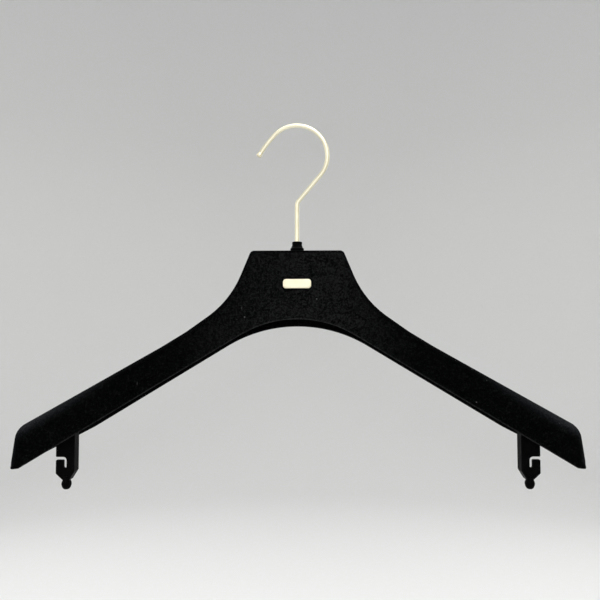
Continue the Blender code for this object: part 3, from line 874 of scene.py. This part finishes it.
def flange_outline():
    """Stiffening flange along the inner edge and the lower taper."""
    inner, thick = -7.2 * MM, 1.5 * MM
    waist, neck_z, neck_in = LOOP_WAIST_Z * MM, LOOP_NECK_Z * MM, -3.4 * MM
    outside = rounded_path([(inner, 0.0, 0.0), (inner, waist, 2.0 * MM),
                            (neck_in, neck_z, 0.0)], 5.0)
    inside = rounded_path([(inner + thick, 0.0, 0.0), (inner + thick, waist, 1.0 * MM),
                           (neck_in + thick, neck_z, 0.0)], 5.0)
    return [(p.x, p.y) for p in outside + inside[::-1]]


def loop_hook(node, side, body, mat):
    """A folding loop hook: plate with a J slot, flange, hub and turned knob."""
    def moved(points):
        return [(side * (PIVOT.x + a), PIVOT.z + z) for a, z in points]

    bm = bmesh.new()
    outline_prism(bm, moved(loop_outline()), -10.6 * MM, -8.6 * MM)
    bmesh.ops.recalc_face_normals(bm, faces=bm.faces)
    obj = new_object(node + "_moulding", bm, mat=mat)
    flange = bmesh.new()
    outline_prism(flange, moved(flange_outline()), LOOP_FRONT_Y, LOOP_BACK_Y)
    bmesh.ops.recalc_face_normals(flange, faces=flange.faces)
    combine(obj, tool_object("flange", flange), "UNION")
    hub = bmesh.new()
    rod_y(hub, side * PIVOT.x, PIVOT.z, [(HUB_R, LOOP_FRONT_Y), (HUB_R, LOOP_BACK_Y)], 48)
    combine(obj, tool_object("hub", hub), "UNION")
    knob = bmesh.new()
    profile = [(0.0, 2.4), (2.0, 2.4), (2.55, 0.4), (2.75, -0.4), (3.2, -1.4), (3.4, -2.4),
               (3.35, -3.3), (3.0, -4.6), (2.4, -5.7), (1.6, -6.35), (0.8, -6.5), (0.0, -6.5)]
    turned(knob, [(r * MM, h * MM) for r, h in profile], 32,
           Matrix.Translation((side * (PIVOT.x - 0.8 * MM), -9.6 * MM,
                               PIVOT.z + LOOP_NECK_Z * MM)),
           closed=False)
    bmesh.ops.recalc_face_normals(knob, faces=knob.faces)
    combine(obj, tool_object("knob", knob), "UNION")
    bore = bmesh.new()
    rod_y(bore, side * PIVOT.x, PIVOT.z, [(PIN_R + GAP / 2, LOOP_FRONT_Y - MM),
                                          (PIN_R + GAP / 2, LOOP_BACK_Y + MM)])
    combine(obj, tool_object("bore", bore), "DIFFERENCE")
    bevelled(obj, 0.28 * MM, 3, 40.0)
    shade(obj)
    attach(obj, body)
    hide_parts(node)


def pivot_pins(steel):
    """Pivot pins with chamfered ends and a knurled press-fit band near the front."""
    for node in ("left_pivot_pin", "right_pivot_pin"):
        low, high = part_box(node)
        radius, length = (high.x - low.x) / 2, high.y - low.y
        sides = 40
        levels = [(0.0, 0.6), (0.12, 0.9), (0.35, 1.0), (0.6, 1.0), (3.4, 1.0), (3.6, 1.0),
                  (length / MM - 0.35, 1.0), (length / MM - 0.12, 0.9), (length / MM, 0.6)]
        bm = bmesh.new()
        rings = []
        for step, factor in levels:
            knurl = 0.6 <= step <= 3.4
            ring = []
            for k in range(sides):
                angle = 2 * math.pi * k / sides
                r = radius * factor * (0.95 if knurl and k % 2 else 1.0)
                ring.append(bm.verts.new(((low.x + high.x) / 2 + r * math.cos(angle),
                                          low.y + step * MM,
                                          (low.z + high.z) / 2 + r * math.sin(angle))))
            rings.append(ring)
        ring_strip(bm, rings)
        bm.faces.new(rings[0])
        bm.faces.new(rings[-1])
        bmesh.ops.recalc_face_normals(bm, faces=bm.faces)
        shade(new_object(node + "_steel", bm, "hanger", steel, [node]))


# ---- stage, camera and lights -------------------------------------------------------
def stage():
    """A pale studio cove that curves up all round, well clear of every view."""
    floor_z, flat_r, curve_r, top_z = -0.80, 1.9, 0.9, 1.9
    profile = [(0.0, floor_z), (flat_r * 0.5, floor_z), (flat_r, floor_z)]
    profile += [(flat_r + curve_r * math.sin(a), floor_z + curve_r * (1 - math.cos(a)))
                for a in (math.pi / 2 * i / 16 for i in range(1, 17))]
    profile.append((flat_r + curve_r, top_z))
    bm = bmesh.new()
    turned(bm, profile, 96, closed=False)
    bmesh.ops.recalc_face_normals(bm, faces=bm.faces)
    bmesh.ops.reverse_faces(bm, faces=bm.faces)
    cove = new_object("studio_cove", bm, mat=stage_material())
    shade(cove, 60.0)


def camera():
    """Near, level with the hanger's arch and pitched up a little, as it was pictured."""
    data = bpy.data.cameras.new("camera")
    data.sensor_width = 36.0
    data.lens = 36.0
    data.clip_start, data.clip_end = 0.01, 20.0
    obj = bpy.data.objects.new("camera", data)
    bpy.context.scene.collection.objects.link(obj)
    pitch, roll, yaw = math.radians(2.58), math.radians(-0.14), math.radians(0.44)
    obj.location = (0.0053, -0.4312, -0.1451)
    obj.matrix_world = (Matrix.Translation(obj.location) @ Matrix.Rotation(yaw, 4, "Z")
                        @ Matrix.Rotation(math.pi / 2 + pitch, 4, "X")
                        @ Matrix.Rotation(roll, 4, "Z"))
    scene = bpy.context.scene
    scene.camera = obj
    scene.view_settings.view_transform = "Standard"


def area_light(name, location, aim, size, power, colour=(1.0, 1.0, 1.0)):
    """A soft rectangular panel, which no view shows."""
    data = bpy.data.lights.new(name, "AREA")
    data.shape = "RECTANGLE"
    data.size, data.size_y = size
    data.energy = power
    data.color = colour
    obj = bpy.data.objects.new(name, data)
    bpy.context.scene.collection.objects.link(obj)
    obj.location = location
    obj.rotation_euler = (Vector(aim) - Vector(location)).to_track_quat("-Z", "Y").to_euler()
    obj.visible_camera = False


def lights():
    """Soft key from the upper right, a broad panel in front for the plating, weak sides."""
    world = bpy.data.worlds.new("studio")
    world.use_nodes = True
    background = world.node_tree.nodes["Background"]
    background.inputs["Color"].default_value = (0.95, 0.97, 1.0, 1.0)
    background.inputs["Strength"].default_value = 0.52
    bpy.context.scene.world = world
    middle = (0.0, 0.0, -0.15)
    area_light("key", (0.55, -0.95, 1.15), middle, (0.8, 0.8), 17.0, (1.0, 0.99, 0.97))
    area_light("fill", (-1.2, -1.1, 0.2), middle, (1.2, 1.2), 4.0, (0.97, 0.98, 1.0))
    area_light("front", (0.0, -1.8, 0.15), middle, (2.4, 1.1), 7.8, (1.0, 1.0, 0.97))
    area_light("top", (0.0, 0.30, 1.35), middle, (1.6, 0.8), 16.0)
    area_light("back_left", (-1.2, 1.2, 0.5), middle, (0.9, 1.2), 8.0)
    area_light("back_right", (1.2, 1.2, 0.5), middle, (0.9, 1.2), 8.0)


def main():
    flock = flock_material()
    black = plastic_material()
    wire = plated_material("champagne_wire", True)
    plate = plated_material("champagne_plate", False)
    steel = steel_material()
    shell("front_half_shell", "front_shell", -1, flock)
    shell("rear_half_shell", "rear_shell", 1, flock)
    hook_piece(wire)
    hook_fittings(black, steel)
    badge_piece(plate)
    push_nuts(steel)
    for side, hand in ((-1, "left"), (1, "right")):
        loop_hook(f"{hand}_loop_hook", side, f"{hand}_loop", black)
    pivot_pins(steel)
    stage()
    lights()
    camera()


main()
